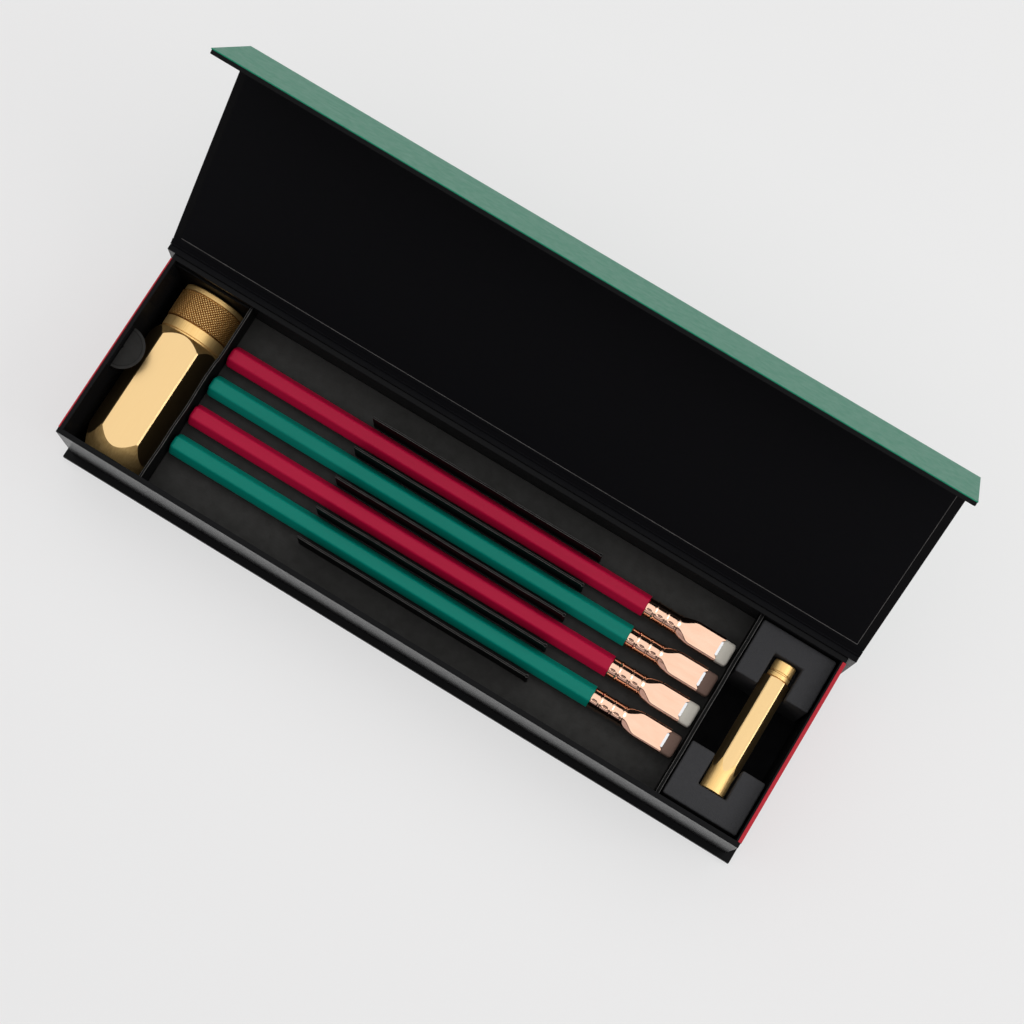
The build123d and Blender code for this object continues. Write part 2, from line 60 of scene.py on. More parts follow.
def add_node(tree, kind, settings=None, sockets=None):
    """Adds a node with its settings; a socket is given a value or another node's output."""
    node = tree.nodes.new(kind)
    for name, value in (settings or {}).items():
        setattr(node, name, value)
    for name, value in (sockets or {}).items():
        if isinstance(value, bpy.types.NodeSocket):
            tree.links.new(value, node.inputs[name])
        else:
            node.inputs[name].default_value = value
    return node


def surface(name, **sockets):
    """A material and its shader, with what is the same all over set on the shader's sockets."""
    material = bpy.data.materials.new(name)
    material.use_nodes = True
    shader = material.node_tree.nodes["Principled BSDF"]
    for socket, value in sockets.items():
        shader.inputs[socket.replace("_", " ")].default_value = value
    return material, material.node_tree, shader


def spread(tree, size, stretch=(1.0, 1.0, 1.0), detail=3.0, roughness=0.55):
    """Noise whose grains are the given size in millimetres, drawn out where stretch is over 1."""
    place = add_node(tree, "ShaderNodeTexCoord")
    scale = tuple(1.0 / part for part in stretch)
    laid = add_node(tree, "ShaderNodeMapping", {}, {"Vector": place.outputs["Object"], "Scale": scale})
    grain = add_node(tree, "ShaderNodeTexNoise", {}, {
        "Vector": laid.outputs["Vector"], "Scale": 1.0 / (size * mm), "Detail": detail,
        "Roughness": roughness,
    })
    return grain.outputs["Fac"]


def tint(tree, shader, factor, light, dark):
    """Colours a surface between two inks by a factor."""
    mixed = add_node(tree, "ShaderNodeMix", {"data_type": "RGBA"}, {
        0: factor, 6: ink(dark), 7: ink(light),
    })
    tree.links.new(mixed.outputs[2], shader.inputs["Base Color"])


def polish(tree, shader, factor, low, high):
    """Lets the roughness of a surface wander between two values."""
    ranged = add_node(tree, "ShaderNodeMapRange", {}, {
        "Value": factor, "From Min": 0.3, "From Max": 0.7, "To Min": low, "To Max": high,
    })
    tree.links.new(ranged.outputs["Result"], shader.inputs["Roughness"])


def relief(tree, shader, height, depth, strength=1.0):
    """Raises the surface by a height pattern of the given depth in millimetres."""
    bump = add_node(tree, "ShaderNodeBump", {}, {
        "Height": height, "Distance": depth * mm, "Strength": strength,
    })
    tree.links.new(bump.outputs["Normal"], shader.inputs["Normal"])


# Finishes

def satin_black_paper():
    """Black book-covering paper, satin laminated: near black head on, and at a grazing angle it
    mirrors the floor softly, with a faint fibre that breaks the gloss up."""
    material, tree, shader = surface("satin_black_book_paper", IOR=1.13)
    fibre = spread(tree, 0.35, (3.0, 1.0, 1.0))
    tint(tree, shader, fibre, "#161617", "#101011")
    polish(tree, shader, spread(tree, 2.5), 0.2, 0.27)
    relief(tree, shader, fibre, 0.01)
    return material


def black_lining_paper():
    """Uncoated black lining paper: deep and matt, with a fine felt-side tooth."""
    material, tree, shader = surface("matt_black_lining_paper", IOR=1.15)
    tooth = spread(tree, 0.3)
    tint(tree, shader, tooth, "#0d0d10", "#08080a")
    polish(tree, shader, spread(tree, 4.0), 0.5, 0.62)
    relief(tree, shader, tooth, 0.015)
    return material


def painted_edge_highlight():
    """A pale grey painted highlight, laid as a thin line on the rounded top edges of card and along
    the edges of black paper.
    """
    material, tree, shader = surface("painted_edge_highlight_paper", IOR=1.45)
    tint(tree, shader, spread(tree, 1.6, (2.0, 2.0, 1.0)), "#6a6866", "#1c1b1a")
    polish(tree, shader, spread(tree, 1.0), 0.6, 0.75)
    return material


def green_book_paper():
    """Green book-covering paper with a satin laminate: deep green that greys as the eye grazes
    it, with a faint laid fibre."""
    material, tree, shader = surface("satin_green_book_paper", IOR=1.2)
    fibre = spread(tree, 0.4, (4.0, 1.0, 1.0))
    tint(tree, shader, fibre, "#0e8363", "#0a7256")
    polish(tree, shader, spread(tree, 3.0), 0.3, 0.38)
    relief(tree, shader, fibre, 0.006)
    return material


def red_book_paper():
    """Red book-covering paper with the same laminate, dyed through so its lip is red as well."""
    material, tree, shader = surface("satin_red_book_paper", IOR=1.3)
    fibre = spread(tree, 0.4, (1.0, 4.0, 1.0))
    tint(tree, shader, fibre, "#bb2230", "#a31a29")
    polish(tree, shader, spread(tree, 3.0), 0.4, 0.5)
    relief(tree, shader, fibre, 0.012)
    return material


def coated_black_card():
    """Black card with a thin satin coating, for fins and dividers: blacker than the platform,
    with short fibres that show only in its shine."""
    material, tree, shader = surface("coated_black_card", IOR=1.15)
    fibre = spread(tree, 0.5, (2.5, 1.0, 1.0), 4.0)
    tint(tree, shader, fibre, "#0e0e0e", "#080808")
    polish(tree, shader, spread(tree, 2.0), 0.5, 0.62)
    relief(tree, shader, fibre, 0.015)
    return material


def black_insert_card():
    """Pulp-dyed black card, matt: charcoal under the light, with short fibres in it."""
    material, tree, shader = surface("pulp_dyed_black_card", IOR=1.35)
    fibre = spread(tree, 0.5, (2.5, 1.0, 1.0), 4.0)
    tint(tree, shader, fibre, "#232220", "#171615")
    polish(tree, shader, spread(tree, 3.0), 0.6, 0.75)
    relief(tree, shader, fibre, 0.02)
    return material


def cut_foam():
    """Closed-cell polyethylene foam, split and cut with a hot wire: charcoal grey, matt, with
    pores about 0.45 mm across."""
    material, tree, shader = surface("hot_wire_cut_foam", IOR=1.4)
    pore = 0.45
    place = add_node(tree, "ShaderNodeTexCoord")
    cells = add_node(tree, "ShaderNodeTexVoronoi", {}, {
        "Vector": place.outputs["Object"], "Scale": 1.0 / (pore * mm),
    })
    mottle = spread(tree, 0.9)
    tint(tree, shader, mottle, "#39393b", "#272729")
    polish(tree, shader, mottle, 0.8, 0.92)
    relief(tree, shader, cells.outputs["Distance"], 0.12, 0.7)
    return material


def pencil_lacquer(name, light, dark):
    """Cellulose lacquer drawn on in many thin coats: an even satin colour with a soft edge to
    its highlights and the faintest ripple along the wood."""
    material, tree, shader = surface(
        name, IOR=1.45, Specular_IOR_Level=0.12, Coat_Weight=0.05, Coat_Roughness=0.25,
    )
    ripple = spread(tree, 1.6, (12.0, 1.0, 1.0), 2.0)
    tint(tree, shader, ripple, light, dark)
    polish(tree, shader, spread(tree, 2.0, (8.0, 1.0, 1.0)), 0.32, 0.4)
    relief(tree, shader, ripple, 0.02)
    return material


def sawn_cedar():
    """Incense cedar, sawn across the grain: warm pinkish brown with growth rings and pores."""
    material, tree, shader = surface("sawn_cedar_end_grain", IOR=1.45)
    place = add_node(tree, "ShaderNodeTexCoord")
    rings = add_node(tree, "ShaderNodeTexWave", {"bands_direction": "Z"}, {
        "Vector": place.outputs["Object"], "Scale": 1.0 / (4.0 * mm), "Distortion": 2.0,
        "Detail": 3.0,
    })
    tint(tree, shader, rings.outputs["Fac"], "#c08a63", "#96603f")
    polish(tree, shader, spread(tree, 0.4), 0.65, 0.8)
    relief(tree, shader, spread(tree, 0.15), 0.03)
    return material


def fired_graphite():
    """Graphite and clay core, fired and waxed: dark grey with a dull metallic shine."""
    material, tree, shader = surface("fired_graphite_core", IOR=1.8)
    tint(tree, shader, spread(tree, 0.2), "#4a4a4c", "#333335")
    polish(tree, shader, spread(tree, 0.5), 0.35, 0.5)
    return material


def plated_ferrule():
    """Aluminium ferrule, stamped, polished and plated in rose gold: a bright pale pink mirror
    that goes brown where it meets the dark, with the ripple that stamping leaves."""
    material, tree, shader = surface("polished_rose_gold_plate", Metallic=1.0)
    ripple = spread(tree, 2.2, (3.0, 1.0, 1.0), 1.5)
    tint(tree, shader, ripple, "#efc8b0", "#e6b89d")
    polish(tree, shader, spread(tree, 0.8), 0.1, 0.15)
    relief(tree, shader, ripple, 0.05)
    return material


def bright_clip():
    """Tin-plated spring steel, bright rolled: a cold white strip beside the warm ferrule."""
    material, tree, shader = surface("bright_tin_plate", Metallic=1.0)
    tint(tree, shader, spread(tree, 1.0, (1.0, 6.0, 1.0)), "#e8e9ea", "#cfd1d3")
    polish(tree, shader, spread(tree, 0.6), 0.2, 0.3)
    return material


def moulded_rubber(name, light, dark):
    """Moulded eraser rubber: matt and chalky, with a dusting of paler specks."""
    material, tree, shader = surface(name, IOR=1.5, Specular_IOR_Level=0.3)
    dust = spread(tree, 0.25, detail=5.0, roughness=0.7)
    tint(tree, shader, dust, light, dark)
    polish(tree, shader, spread(tree, 1.0), 0.7, 0.85)
    relief(tree, shader, dust, 0.03)
    return material


def brushed_brass():
    """Brass bar, milled and brushed along its length, then satin lacquered: flats that glow
    evenly under the light with a fine grain along them."""
    material, tree, shader = surface("brushed_brass_bar", Metallic=1.0)
    grain = spread(tree, 0.12, (1.0, 60.0, 1.0), 2.0)
    tint(tree, shader, grain, "#e4c590", "#dfbc86")
    polish(tree, shader, grain, 0.3, 0.36)
    return material


def turned_brass(name, light, dark):
    """Brass turned, then brushed along its axis: the brushing draws each highlight out round
    the bands and cones, in fine streaks that are a little brighter and duller."""
    material, tree, shader = surface(name, Metallic=1.0, Anisotropic=0.6)
    streak = spread(tree, 0.45, (1.0, 40.0, 1.0), 3.0)
    tint(tree, shader, streak, light, dark)
    polish(tree, shader, streak, 0.44, 0.56)
    round_axis = add_node(tree, "ShaderNodeTangent", {"direction_type": "RADIAL", "axis": "Y"})
    tree.links.new(round_axis.outputs["Tangent"], shader.inputs["Tangent"])
    return material


def ground_steel(name, light, dark, low, high):
    """Steel ground flat: cool grey with the fine scratches of the wheel."""
    material, tree, shader = surface(name, Metallic=1.0)
    scratch = spread(tree, 0.12, (1.0, 30.0, 1.0), 2.0)
    tint(tree, shader, scratch, light, dark)
    polish(tree, shader, scratch, low, high)
    return material


def greyboard():
    """Recycled greyboard, rolled: warm grey with darker flecks."""
    material, tree, shader = surface("rolled_greyboard", IOR=1.4)
    flecks = spread(tree, 0.6, detail=6.0, roughness=0.7)
    tint(tree, shader, flecks, "#8b857c", "#6a655e")
    polish(tree, shader, flecks, 0.8, 0.9)
    relief(tree, shader, flecks, 0.03)
    return material


book_black = satin_black_paper()
lining_black = black_lining_paper()
edge_highlight_paint = painted_edge_highlight()
book_green = green_book_paper()
book_red = red_book_paper()
card_black = black_insert_card()
card_coated = coated_black_card()
foam_grey = cut_foam()
lacquer_red = pencil_lacquer("drawn_red_lacquer", "#ab1138", "#a30c32")
lacquer_green = pencil_lacquer("drawn_green_lacquer", "#02796a", "#027263")
cedar = sawn_cedar()
graphite = fired_graphite()
rose_gold = plated_ferrule()
tin_plate = bright_clip()
rubber_grey = moulded_rubber("moulded_grey_rubber", "#d3cec3", "#bdb8ad")
rubber_brown = moulded_rubber("moulded_brown_rubber", "#7a6257", "#634e45")
brass_bar = brushed_brass()
brass_turned = turned_brass("lathe_turned_brass", "#ffdf9f", "#dfb067")
# Darker brass painted as shade in the knurl's grooves.
brass_painted_groove_shade = turned_brass("knurl_grooves_painted_shade", "#c08a4a", "#946630")
blade_steel = ground_steel("ground_blade_steel", "#c9ccd0", "#a9adb2", 0.18, 0.3)
magnet_nickel = ground_steel("plated_magnet_nickel", "#c2bfb8", "#a9a69f", 0.25, 0.35)
grey_board = greyboard()


# Making meshes

def make_piece(name, points, faces, finishes, body, stands_for, slot, tints=None, crease=30.0):
    """A piece from points in millimetres, shaded smooth up to its creases. A piece with no body
    is left without a parent."""
    mesh = bpy.data.meshes.new(name)
    mesh.from_pydata([tuple(value * mm for value in point) for point in points], [], faces)
    for finish in finishes:
        mesh.materials.append(finish)
    if tints:
        mesh.polygons.foreach_set("material_index", tints)
    work = bmesh.new()
    work.from_mesh(mesh)
    bmesh.ops.recalc_face_normals(work, faces=work.faces)
    work.to_mesh(mesh)
    work.free()
    mesh.polygons.foreach_set("use_smooth", [True] * len(mesh.polygons))
    mesh.set_sharp_from_angle(angle=radians(crease))
    piece = bpy.data.objects.new(name, mesh)
    scene.collection.objects.link(piece)
    if body:
        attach(piece, body)
    if stands_for:
        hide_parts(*stands_for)
    return piece


def skin(rings, ends=(True, True)):
    """Points and faces of a skin drawn over rings of points. A ring of one point closes it."""
    points, starts = [], []
    for ring in rings:
        starts.append(len(points))
        points.extend(ring)
    faces = []
    for k in range(len(rings) - 1):
        near, far = rings[k], rings[k + 1]
        a, b = starts[k], starts[k + 1]
        count = max(len(near), len(far))
        for i in range(count):
            j = (i + 1) % count
            if len(near) == 1:
                faces.append((a, b + i, b + j))
            elif len(far) == 1:
                faces.append((a + i, b, a + j))
            else:
                faces.append((a + i, b + i, b + j, a + j))
    if ends[0] and len(rings[0]) > 1:
        faces.append(tuple(range(starts[0], starts[0] + len(rings[0]))))
    if ends[1] and len(rings[-1]) > 1:
        faces.append(tuple(range(starts[-1], starts[-1] + len(rings[-1]))))
    return points, faces


def soften(piece, width, steps=3, angle=35.0):
    """Rounds the edges of a piece or CAD node by a width in millimetres."""
    weld = piece.modifiers.new("joined_corners", "WELD")
    weld.merge_threshold = 0.002 * mm
    bevel = piece.modifiers.new("rounded_edges", "BEVEL")
    bevel.width = width * mm
    bevel.segments = steps
    bevel.limit_method = "ANGLE"
    bevel.angle_limit = radians(angle)
    bevel.harden_normals = True


def dress(names, finish, rounding=0.0):
    """Gives CAD nodes their finish and, where asked, rounded edges."""
    for name in names:
        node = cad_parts[name]
        for place in node.material_slots:
            place.material = finish
        if rounding:
            soften(node, rounding)


# Brass pieces along Y

def hexagonal_brass(name, x, z, flats, edge_radius, front, front_cone, rear_cone, rear, **rest):
    """A brass bar milled to a hexagon and turned at both ends, so that the turned cones cut the
    flats in arcs. Each cone is given from its narrow end to where it reaches the corners. The
    flats between the cones are brushed bar, and the turned ends are turned brass."""
    half = flats / 2
    reach = acos(half / edge_radius)
    steps = 14
    angles = [
        side * pi / 3 + reach * (2 * i / steps - 1)
        for side in range(6) for i in range(steps + 1)
    ]

    def on_cone(radius, cone):
        (small, start), (large, end) = cone
        return start + (radius - small) * (end - start) / (large - small)

    def row_points(row):
        points = []
        for angle in angles:
            turn = (angle + pi / 6) % (pi / 3) - pi / 6
            side = min(half / cos(turn), edge_radius)
            radius, y = row(side)
            points.append((x + radius * sin(angle), y, z + radius * cos(angle)))
        return points

    def turned_end(profile):
        return [
            [(x, y, z)] if radius == 0 else row_points(lambda side, r=radius, y=y: (r, y))
            for radius, y in profile
        ]

    rings = turned_end(front)
    rings.append(row_points(lambda side: (side, on_cone(side, front_cone))))
    rings.append(row_points(lambda side: (side, on_cone(side, rear_cone))))
    rings += turned_end(rear)
    points, faces = skin(rings, (False, False))
    flat_row = len(front)
    tints = [0 if row == flat_row else 1 for row in range(len(rings) - 1) for _ in angles]
    make_piece(name, points, faces, [brass_bar, brass_turned], tints=tints, crease=13.0, **rest)


def round_ring(x, y, z, columns, radius_at):
    """A ring of points about a line along Y, whose radius may change from column to column."""
    ring = []
    for i in range(columns):
        angle, radius = 2 * pi * i / columns, radius_at(i)
        ring.append((x + radius * sin(angle), y, z + radius * cos(angle)))
    return ring


def turned_brass_piece(name, x, z, profile, **rest):
    """A piece turned about a line along Y from pairs of radius and y."""
    columns = 144
    rings = [
        [(x, y, z)] if radius == 0 else round_ring(x, y, z, columns, lambda i, r=radius: r)
        for radius, y in profile
    ]
    points, faces = skin(rings, (False, False))
    make_piece(name, points, faces, [brass_turned], crease=20.0, **rest)


sharpener_x, sharpener_z = -118.602, 16.95
hexagonal_brass(
    "sharpener_bar", sharpener_x, sharpener_z, 25.5, 14.55,
    front=[(0, -34.0), (10.9, -34.0), (11.2, -33.7)],
    front_cone=((11.2, -33.7), (14.722, -25.0)),
    rear_cone=((12.4, 16.6), (14.722, 12.7)),
    rear=[
        (12.4, 16.45), (12.25, 16.6), (11.6, 16.6), (11.6, 17.3), (10.5, 17.3), (10.5, -31.0),
        (0, -31.0),
    ],
    body="sharpener", stands_for=("sharpener_body",), slot="brass",
)


def knurled_cap():
    """The sharpener's cap: smooth bands round a diamond knurl. Two sets of rolled grooves cross
    and leave pyramids with blunt tops, with shade painted darker in the grooves than on the tops,
    and a turned groove, also painted darker as shade, closes the knurl at each end."""
    diamonds, along, outer, depth = 66, 9, 12.4, 0.15
    steps, steepness, top_height = 6, 2.0, 0.3
    columns, rows = diamonds * steps, along * steps
    knurl_start, knurl_end = 21.75, 31.75
    before = [
        (8.0, 10.3), (10.4, 10.3), (10.4, 17.3), (11.95, 17.3), (12.1, 17.45), (12.1, 21.15),
        (12.0, 21.25), (11.4, 21.3), (11.4, 21.65),
    ]
    after = [
        (11.4, 31.85), (11.4, 32.2), (12.0, 32.25), (12.1, 32.35), (12.1, 33.9), (11.7, 34.3),
        (8.15, 34.3), (8.0, 34.15), (8.0, 10.3),
    ]
    first, groove_rows_before, groove_rows_after = len(before), 3, 2

    def crest(turn):
        return 1 - abs(2 * (turn - floor(turn)) - 1)

    def pyramid(column, row):
        """0 in the rolled grooves and 1 at the middle of a diamond."""
        return min(crest((column + row) / steps), crest((column - row) / steps))

    def cap_ring(y, radius_at):
        return round_ring(sharpener_x, y, sharpener_z, columns, radius_at)

    rings = [cap_ring(y, lambda i, r=radius: r) for radius, y in before]
    for j in range(rows + 1):
        y = knurl_start + (knurl_end - knurl_start) * j / rows
        rings.append(cap_ring(
            y, lambda i, j=j: outer - depth + depth * min(1.0, steepness * pyramid(i, j))))
    rings += [cap_ring(y, lambda i, r=radius: r) for radius, y in after]
    points, faces = skin(rings, (False, False))
    split, tints = [], []
    for face in faces:
        row, column = divmod(face[0], columns)
        if not first <= row < first + rows:
            # The rows at the turned grooves at both ends take the painted groove shade.
            in_groove = first - groove_rows_before <= row < first + rows + groove_rows_after
            split.append(face)
            tints.append(1 if in_groove else 0)
            continue
        a, b, c, d = face
        even = (column + row - first) % 2 == 0
        for half in [(a, b, c), (a, c, d)] if even else [(a, b, d), (b, c, d)]:
            corners = [divmod(corner, columns) for corner in half]
            lowest = min(pyramid(k, r - first) for r, k in corners)
            split.append(half)
            # Faces low on the pyramids take the painted groove shade.
            tints.append(0 if lowest > top_height else 1)
    make_piece(
        "sharpener_knurled_cap", points, split, [brass_turned, brass_painted_groove_shade], "sharpener_top",
        ("sharpener_cap",), "brass", tints, crease=20.0,
    )


knurled_cap()

guard_x, guard_z = 118.75, 29.7
hexagonal_brass(
    "guard_bar", guard_x, guard_z, 9.0, 5.08,
    front=[
        (0, 15.9), (4.05, 15.9), (4.05, -24.2), (4.2, -24.4), (4.35, -24.4), (4.5, -24.25),
        (4.5, -17.2),
    ],
    front_cone=((4.5, -16.5), (5.196, -12.1)),
    rear_cone=((4.5, 19.9), (5.196, 19.6)),
    rear=[(4.3, 19.95), (4.05, 19.95)],
    body="guard", stands_for=("guard_barrel",), slot="brass",
)
turned_brass_piece(
    "guard_plug", guard_x, guard_z,
    [
        (0, 15.9), (4.04, 15.9), (4.04, 19.9), (3.72, 19.95), (3.72, 20.15), (3.9, 20.2),
        (4.15, 20.35), (4.15, 21.75), (4.0, 21.95), (3.7, 22.0), (3.7, 22.4), (3.9, 22.45),
        (4.0, 22.55), (4.0, 26.0), (3.75, 26.4), (0, 26.4),
    ],
    body="guard", stands_for=("guard_end_plug",), slot="brass",
)


# Pencils along X

pencil_z, pencil_pitch, row_middle = 28.9, 12.2, 0.5
pencil_left, barrel_end, ferrule_end, pencil_right = -101.35, 67.7, 96.5, 101.35


def hexagon_loop(flats, radius, steps=6):
    """A rounded hexagon with flats above and below: corners at 30 degrees either side."""
    loop = []
    centre = (flats / 2 - radius) * 2 / sqrt(3)
    for corner in range(6):
        middle = pi / 6 + corner * pi / 3
        for i in range(steps + 1):
            turn = middle + (i / steps - 0.5) * pi / 3
            loop.append((
                centre * sin(middle) + radius * sin(turn),
                centre * cos(middle) + radius * cos(turn),
            ))
    return loop


def pencil_barrel(number, y, lacquer):
    """Lacquered barrel, dipped round its left end, where bare cedar shows round the core."""
    flats, edge, core_radius = 7.3, 1.15, 1.2
    rows = [
        (-1.0, 0.0), (-0.62, 0.12), (-0.32, 0.36), (-0.1, 0.75), (0.0, 1.3),
        (0.0, barrel_end - pencil_left),
    ]
    rings = []
    for inset, x in rows:
        loop = hexagon_loop(flats + 2 * inset, edge)
        rings.append([(pencil_left + x, y + a, pencil_z + b) for a, b in loop])
    count = len(rings[0])
    turns = [2 * pi * (i + 0.5) / count for i in range(count)]
    bore = [
        (pencil_left, y + core_radius * sin(turn), pencil_z + core_radius * cos(turn))
        for turn in turns
    ]
    points, faces = skin([bore] + rings, (False, True))
    tints = [1] * count + [0] * (len(faces) - count)
    make_piece(
        f"pencil_{number}_lacquered_barrel", points, faces, [lacquer, cedar], f"pencil_{number}",
        (f"pencil_{number}_barrel",), "red_lacquer" if lacquer is lacquer_red else "green_lacquer",
        tints, crease=40.0,
    )


def squared(angle, half_width, half_height, facet, round_radius, sharpness=54.0):
    """Distance from the axis to a flattened tube: the nearest of its flat top, its sides, its
    sloping facets and a circle, run together softly."""
    c, s = abs(cos(angle)), abs(sin(angle))
    near = [c / half_width, s / half_height, (c * 0.5 + s * 0.866) / facet, 1 / round_radius]
    return sum(part ** sharpness for part in near) ** (-1 / sharpness)


def pencil_ferrule(number, y):
    """Stamped ferrule: a tube with three raised rings, flattened past the third to a paddle
    with a flat facet above and below, and notched at its end for the clip. Two dents pressed
    into each segment of the tube grip the wood."""
    tube, tube_facet, tube_height = 3.66, 3.52, 3.45
    paddle = {"half_width": 4.6, "half_height": 2.8, "facet": 4.3, "round_radius": 5.4}
    rings_at, dents_at = (3.0, 7.5, 11.8), (1.55, 5.75, 10.2)
    ring_shape = (
        (-0.25, 0.0), (0.0, 0.06), (0.15, 0.2), (0.45, 0.26), (0.75, 0.2), (0.9, 0.06), (1.15, 0.0),
    )
    dent_steps, dent_angles = (-1.05, -0.85, -0.6, 0.0, 0.6, 0.85, 1.05), (103, 283)
    dent_half_length, dent_half_angle, dent_depth, dent_tilt = 1.05, 12, 0.17, 0.012
    flare_start, flare_length, flare_steps = 12.95, 6.05, 18
    notch_floor, end, wall, ear_length = 28.0, 28.3, 0.4, 0.95
    columns = 168

    def ear(across, notch_half):
        """How far the end reaches past the notch's floor, beside the clip."""
        return ear_length * min(1.0, max(0.0, (abs(across) - notch_half) / ear_length))

    marks = {0.0: -0.12, 0.12: 0.0}
    for start in rings_at:
        for offset, lift in ring_shape:
            marks[round(start + offset, 3)] = lift
    for middle in dents_at:
        for offset in dent_steps:
            marks[round(middle + offset, 3)] = -0.02
    stations = [(x, 0.0, tube + marks[x]) for x in sorted(marks)]
    for i in range(1, flare_steps + 1):
        stations.append((flare_start + flare_length * i / flare_steps, i / flare_steps, tube))
    for x in (20.0, 22.0, 24.0, 26.0, 27.3, 28.1, end):
        stations.append((x, 1.0, tube))

    def dent_at(x, angle):
        """Depth of the dents at a place on the tube: tilted floors with short ends."""
        depth = 0.0
        for middle in dents_at:
            long = min(1.0, max(0.0, (dent_half_length - abs(x - middle)) / 0.25))
            for centre in dent_angles:
                apart = (angle * 180 / pi - centre + 180) % 360 - 180
                round_it = min(1.0, max(0.0, (dent_half_angle - abs(apart)) / 2))
                depth += (dent_depth + dent_tilt * apart) * long * round_it
        return depth

    rings = []
    for x, flat, radius in stations:
        ease = flat * flat * (3 - 2 * flat)
        width = radius + (paddle["half_width"] - radius) * ease
        height = radius + 0.02 + (paddle["half_height"] - radius) * min(1.0, ease * 1.15)
        if flat > 0:
            height = min(height, tube_height + (paddle["half_height"] - tube_height) * ease)
        facet = tube_facet + (paddle["facet"] - tube_facet) * ease
        round_radius = radius + (paddle["round_radius"] - radius) * min(1.0, flat * 1.4)
        trim = 0.05 if x >= end else 0.0
        ring = []
        for i in range(columns):
            angle = 2 * pi * (i + 0.5) / columns
            if flat == 0:
                reach = radius - dent_at(x, angle)
            else:
                reach = squared(angle, width, height, facet, round_radius) - trim
            across, up = reach * cos(angle), reach * sin(angle)
            past = ear(across, 2.5) if x > notch_floor else 0.0
            ring.append((barrel_end + x + past, y + across, pencil_z + up))
        rings.append(ring)
    for x in (28.25, 20.5):
        ring = []
        for i in range(columns):
            angle = 2 * pi * (i + 0.5) / columns
            reach = squared(angle, **paddle) - wall
            past = ear(reach * cos(angle), 2.2) if x > notch_floor else 0.0
            ring.append((barrel_end + x + past, y + reach * cos(angle), pencil_z + reach * sin(angle)))
        rings.append(ring)
    points, faces = skin(rings)
    make_piece(
        f"pencil_{number}_stamped_ferrule", points, faces, [rose_gold], f"pencil_{number}",
        (f"pencil_{number}_ferrule",), "rose_metal", crease=50.0,
    )


def pencil_clip(number, y):
    """The bright strip of the eraser clip in the ferrule's notch, above and below."""
    low, high = 2.0, 2.62
    start, end, half, cut = 27.0, 29.2, 3.2, 0.8
    outline = [
        (start, -half), (end - cut, -half), (end, -half + cut), (end, half - cut),
        (end - cut, half), (start, half),
    ]
    points, faces = [], []
    for side in (1, -1):
        base = len(points)
        for level in (low, high):
            points += [(barrel_end + a, y + b, pencil_z + side * level) for a, b in outline]
        count = len(outline)
        faces.append(tuple(base + i for i in range(count)))
        faces.append(tuple(base + count + i for i in range(count)))
        for i in range(count):
            j = (i + 1) % count
            faces.append((base + i, base + j, base + count + j, base + count + i))
    piece = make_piece(
        f"pencil_{number}_bright_clip", points, faces, [tin_plate], f"pencil_{number}",
        (f"pencil_{number}_eraser_clip",), "clip_metal",
    )
    soften(piece, 0.08, 2)


def pencil_eraser(number, y, rubber):
    """Flat eraser with a pillowed top and worn corners."""
    half_width, half_height, hidden = 4.25, 2.2, 6.0
    corner, flat_corner, roundness = 1.1, 0.7, 0.42
    columns, corner_steps = 72, 7
    length = pencil_right - ferrule_end
    rows = [(-hidden, 0.0)]
    for k in range(corner_steps + 1):
        turn = pi / 2 * k / corner_steps
        rows.append((length - corner + corner * sin(turn), 1 - cos(turn)))
    rings = []
    for x, tuck in rows:
        ring = []
        for i in range(columns):
            angle = 2 * pi * i / columns
            c, s = cos(angle), sin(angle)
            a, b = half_width - corner * tuck, half_height - flat_corner * tuck
            across = a * (abs(c) ** roundness) * (1 if c > 0 else -1)
            up = b * (abs(s) ** roundness) * (1 if s > 0 else -1)
            ring.append((ferrule_end + x, y + across, pencil_z + up))
        rings.append(ring)
    points, faces = skin(rings)
    make_piece(
        f"pencil_{number}_flat_eraser", points, faces, [rubber], f"pencil_{number}",
        (f"pencil_{number}_eraser",), "grey_rubber" if rubber is rubber_grey else "brown_rubber",
        crease=60.0,
    )


for number in range(1, 5):
    y = row_middle + (2.5 - number) * pencil_pitch
    odd = number % 2 == 1
    pencil_barrel(number, y, lacquer_red if odd else lacquer_green)
    pencil_ferrule(number, y)
    pencil_clip(number, y)
    pencil_eraser(number, y, rubber_grey if odd else rubber_brown)


# Card insert

insert_floor, divider_top = 4.2, 36.0


def card_section(half, low, high, edge, chamfer):
    """(sideways, up) points of card that stands on edge, its two top edges rounded off."""
    return [
        (-half, low), (-half, high - edge), (-half + chamfer, high - chamfer), (-half + edge, high),
        (half - edge, high), (half - chamfer, high - chamfer), (half, high - edge), (half, low),
    ]


def card_tints(rings):
    """Coated card all over, but for the two rounded top edges, which get a pale painted highlight."""
    return [0, 0, 1, 0, 1, 0, 0, 0] * (len(rings) - 1) + [0, 0]


